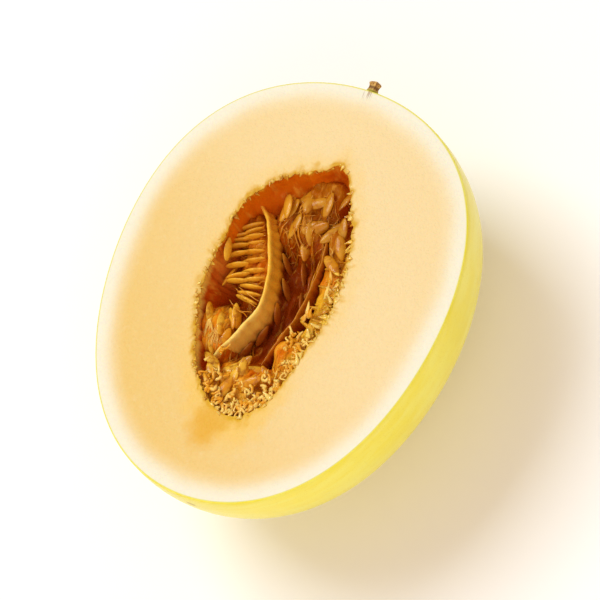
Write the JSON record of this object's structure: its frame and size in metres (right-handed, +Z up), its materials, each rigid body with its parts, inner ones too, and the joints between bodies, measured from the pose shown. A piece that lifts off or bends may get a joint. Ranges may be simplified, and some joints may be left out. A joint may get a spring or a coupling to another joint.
{
  "type": "halved melon",
  "caption": "Half of a smooth yellow melon cut lengthwise, lying on its rind: pale flesh, open seed cavity with lobes and loose seeds, and the dry stalk stub.",
  "frame": {"origin": "on the surface that the half lies on, under the middle of its box (fruit and stalk stub together)", "axes": "+Z up out of the cut face, +X along the fruit towards the stem end, +Y across the cut face"},
  "size_m": [0.176, 0.1414, 0.0777],
  "materials": {
    "rind_and_flesh": "moist pale peach flesh inside a smooth, waxy, bright yellow rind",
    "dry_stem": "dry, fibrous, tan to brown",
    "placenta": "wet, soft, amber to red-brown",
    "seed": "wet, smooth, pale tan"
  },
  "bodies": {
    "root": {"melon_half": "rind_and_flesh", "stem": "dry_stem", "placenta_left": "placenta", "placenta_right": "placenta", "seed_01": "seed", "seed_02": "seed", "seed_03": "seed", "seed_04": "seed", "seed_05": "seed", "seed_06": "seed", "seed_07": "seed", "seed_08": "seed", "seed_09": "seed", "seed_10": "seed", "seed_11": "seed", "seed_12": "seed", "seed_13": "seed", "seed_14": "seed", "seed_15": "seed", "seed_16": "seed", "seed_17": "seed", "seed_18": "seed", "seed_19": "seed", "seed_20": "seed", "seed_21": "seed", "seed_22": "seed", "seed_23": "seed", "seed_24": "seed", "seed_25": "seed", "seed_26": "seed", "seed_27": "seed", "seed_28": "seed", "seed_29": "seed", "seed_30": "seed", "seed_31": "seed", "seed_32": "seed", "seed_33": "seed", "seed_34": "seed", "seed_35": "seed", "seed_36": "seed", "seed_37": "seed", "seed_38": "seed", "seed_39": "seed", "seed_40": "seed", "seed_41": "seed", "seed_42": "seed", "seed_43": "seed", "seed_44": "seed"}
  },
  "joints": []
}
